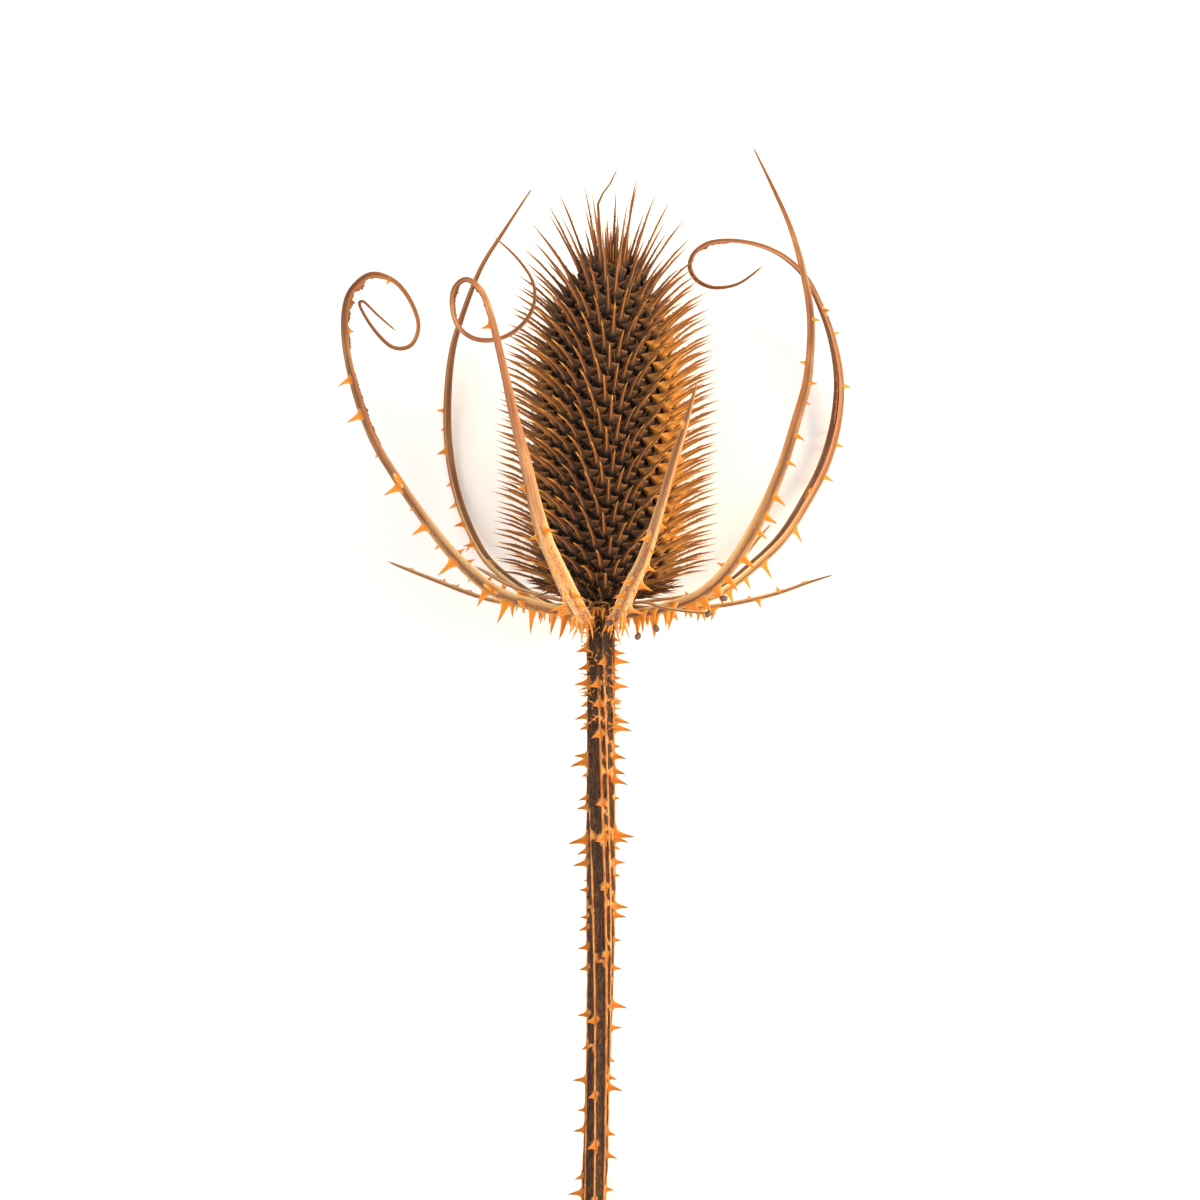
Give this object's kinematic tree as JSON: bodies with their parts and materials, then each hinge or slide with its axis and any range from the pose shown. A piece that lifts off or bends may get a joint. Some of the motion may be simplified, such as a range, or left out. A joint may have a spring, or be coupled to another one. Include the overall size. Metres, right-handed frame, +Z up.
{
  "type": "dried teasel seed head",
  "caption": "Dried teasel lying as cut: a spiny egg-shaped seed head on a ridged, prickly stem, ringed by long narrow bracts that curve up round it and curl at the tips.",
  "frame": {"origin": "the middle of the object's box, on the surface that it lies on", "axes": "+Z up from the surface; +Y along the stem from its cut end to the head; +X to the right seen from above with the head away"},
  "size_m": [0.1032, 0.2148, 0.0646],
  "materials": {
    "stem": "dry, brown between orange-brown ridges",
    "seed_head": "dry, dark brown with lighter spine tips",
    "bract": "dry, satin tan-orange"
  },
  "bodies": {
    "root": {"stem": "stem", "seed_head": "seed_head", "bract_left_long": "bract", "bract_left_back": "bract", "bract_front_left": "bract", "bract_front_right": "bract", "bract_right_tall": "bract", "bract_right_outer": "bract", "bract_left_low": "bract", "bract_right_low": "bract", "bract_left_thin": "bract", "bract_right_thin": "bract", "bract_front_thin": "bract", "bract_back": "bract"}
  },
  "joints": []
}
